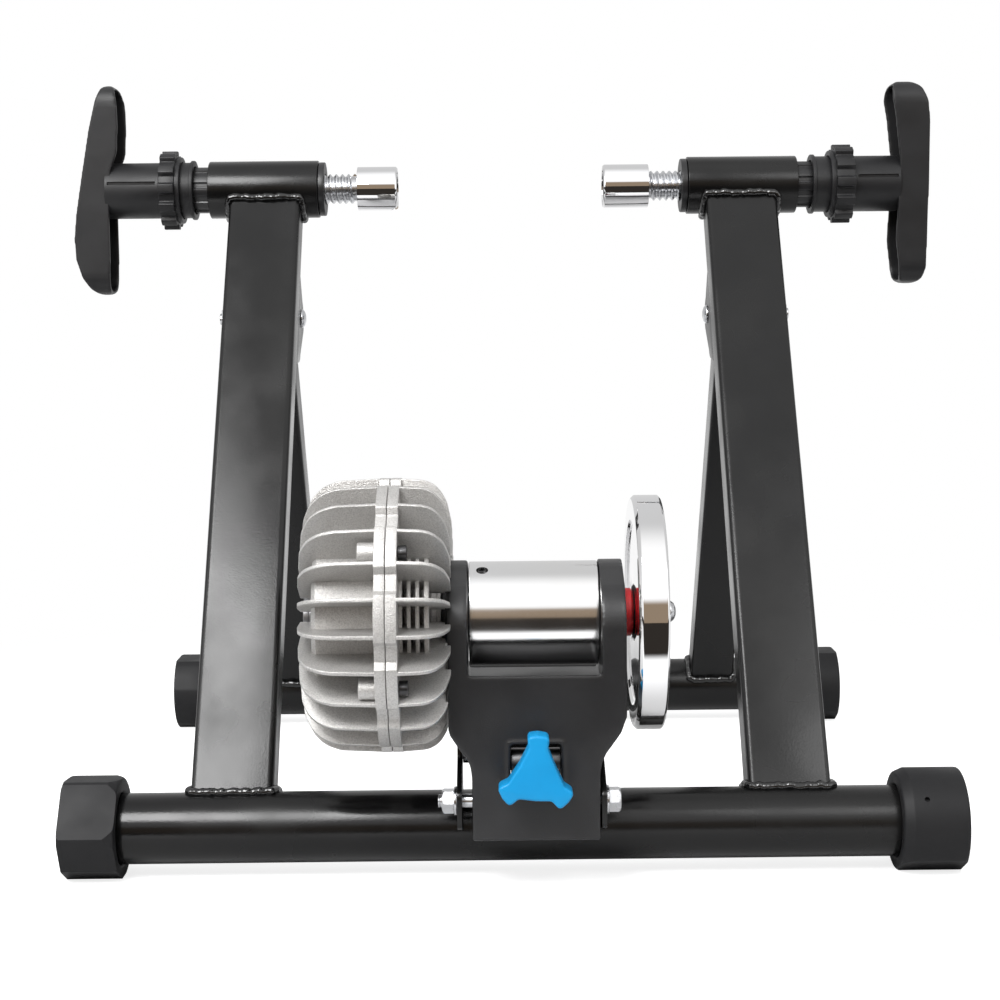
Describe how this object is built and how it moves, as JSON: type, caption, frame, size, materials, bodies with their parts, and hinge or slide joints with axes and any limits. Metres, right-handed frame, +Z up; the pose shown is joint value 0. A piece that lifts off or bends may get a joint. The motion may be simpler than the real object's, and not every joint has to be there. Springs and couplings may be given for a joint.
{
  "type": "bicycle trainer stand",
  "caption": "Folding rear-wheel bicycle trainer: steel A-frame with axle clamps, adjustable roller yoke, finned fluid resistance unit and flywheel.",
  "frame": {"origin": "on the floor, midway across the machine and midway from rear to front of its bounding box", "axes": "X across the machine with the flywheel at +X, Y from the rear foot to the front foot, Z up"},
  "size_m": [0.611, 0.5376, 0.4985],
  "materials": {
    "frame_paint": "satin black powder coat",
    "yoke_paint": "matt black paint on a casting",
    "cap_plastic": "fine grained moulding",
    "grip_plastic": "fine grained moulding",
    "bush_plastic": "smooth moulding",
    "zinc": "bright zinc plate",
    "chrome": "polished",
    "steel": "turned",
    "casting": "as cast",
    "knob_plastic": "satin moulding",
    "collar_plastic": "satin moulding",
    "dark_rubber": "matt"
  },
  "bodies": {
    "frame": {"rear_foot_tube": "frame_paint", "rear_right_cap": "cap_plastic", "rear_left_cap": "cap_plastic", "left_upright": "frame_paint", "right_upright": "frame_paint", "left_fold_bracket": "frame_paint", "right_fold_bracket": "frame_paint", "left_fold_bolt": "zinc", "right_fold_bolt": "zinc", "left_fold_nut": "zinc", "right_fold_nut": "zinc", "left_sleeve": "frame_paint", "right_sleeve": "frame_paint", "left_inner_bush": "bush_plastic", "right_inner_bush": "bush_plastic", "left_outer_bush": "bush_plastic", "right_outer_bush": "bush_plastic", "left_yoke_ear": "frame_paint", "right_yoke_ear": "frame_paint", "pivot_bolt": "zinc", "pivot_nut": "zinc", "left_washer": "zinc", "right_washer": "zinc"},
    "front_leg": {"front_foot_tube": "frame_paint", "front_right_cap": "cap_plastic", "front_left_cap": "cap_plastic", "left_leg": "frame_paint", "right_leg": "frame_paint"},
    "left_clamp": {"left_cup": "chrome", "left_cup_liner": "dark_rubber"},
    "left_grip": {"left_clamp_screw": "zinc", "left_handle": "grip_plastic"},
    "left_lock": {"left_lock_ring": "grip_plastic"},
    "right_clamp": {"right_cup": "chrome", "right_cup_liner": "dark_rubber"},
    "right_grip": {"right_clamp_screw": "zinc", "right_handle": "grip_plastic"},
    "right_lock": {"right_lock_ring": "grip_plastic"},
    "yoke_arm": {"yoke": "yoke_paint", "left_bearing": "steel", "right_bearing": "steel", "left_case": "casting", "right_case": "casting", "filler_plug": "steel", "shaft_seal": "dark_rubber", "case_bolt_1": "steel", "case_bolt_2": "steel", "case_bolt_3": "steel", "case_bolt_4": "steel"},
    "rotor": {"shaft": "steel", "roller": "chrome", "grub_screw": "steel", "collar": "collar_plastic", "flywheel": "chrome", "dome_nut": "zinc", "impeller": "steel"},
    "crossbar_pin": {"crossbar": "zinc"},
    "saddle_pin": {"saddle": "steel"},
    "adjuster": {"knob": "knob_plastic", "adjuster_rod": "zinc"}
  },
  "joints": [
    {"name": "leg_fold", "type": "hinge", "parent": "frame", "child": "front_leg", "pos_m": [0, 0.04733, 0.33339], "axis": [-1, 0, 0], "range_deg": [0, 58]},
    {"name": "left_clamp_slide", "type": "slide", "parent": "frame", "child": "left_clamp", "axis": [1, 0, 0], "range_m": [-0.0218, 0.0097]},
    {"name": "left_grip_turn", "type": "hinge", "parent": "left_clamp", "child": "left_grip", "pos_m": [-0.2, 0.06926, 0.4251], "axis": [1, 0, 0], "range_deg": [-1790, 800]},
    {"name": "left_lock_turn", "type": "hinge", "parent": "left_grip", "child": "left_lock", "pos_m": [-0.235, 0.06926, 0.4251], "axis": [1, 0, 0], "continuous": true},
    {"name": "right_clamp_slide", "type": "slide", "parent": "frame", "child": "right_clamp", "axis": [-1, 0, 0], "range_m": [-0.0218, 0.0097]},
    {"name": "right_grip_turn", "type": "hinge", "parent": "right_clamp", "child": "right_grip", "pos_m": [0.2, 0.06926, 0.4251], "axis": [-1, 0, 0], "range_deg": [-1790, 800]},
    {"name": "right_lock_turn", "type": "hinge", "parent": "right_grip", "child": "right_lock", "pos_m": [0.24, 0.06926, 0.4251], "axis": [-1, 0, 0], "continuous": true},
    {"name": "yoke_tilt", "type": "hinge", "parent": "frame", "child": "yoke_arm", "pos_m": [0, -0.21725, 0.0543], "axis": [-1, 0, 0], "range_deg": [-5.3, 5.3]},
    {"name": "knob_turn", "type": "hinge", "parent": "saddle_pin", "child": "adjuster", "pos_m": [0.0141, -0.22325, 0.0785], "axis": [0, 1, 0], "range_deg": [-540, 540]},
    {"name": "saddle_turn", "type": "hinge", "parent": "yoke_arm", "child": "saddle_pin", "pos_m": [0.0141, -0.22325, 0.0785], "axis": [-1, 0, 0], "range_deg": [-6, 6]},
    {"name": "crossbar_turn", "type": "hinge", "parent": "frame", "child": "crossbar_pin", "pos_m": [0.0141, -0.19325, 0.0785], "axis": [-1, 0, 0], "range_deg": [-3, 3]},
    {"name": "roller_spin", "type": "hinge", "parent": "yoke_arm", "child": "rotor", "pos_m": [0.01405, -0.18825, 0.1595], "axis": [1, 0, 0], "continuous": true}
  ],
  "couplings": [
    {"joint": "left_grip_turn", "follows": "left_clamp_slide", "rad_per_m": 1428},
    {"joint": "right_grip_turn", "follows": "right_clamp_slide", "rad_per_m": 1428},
    {"joint": "knob_turn", "follows": "yoke_tilt", "ratio": 101.37},
    {"joint": "saddle_turn", "follows": "yoke_tilt", "ratio": -0.8},
    {"joint": "crossbar_turn", "follows": "yoke_tilt", "ratio": 0.2}
  ]
}
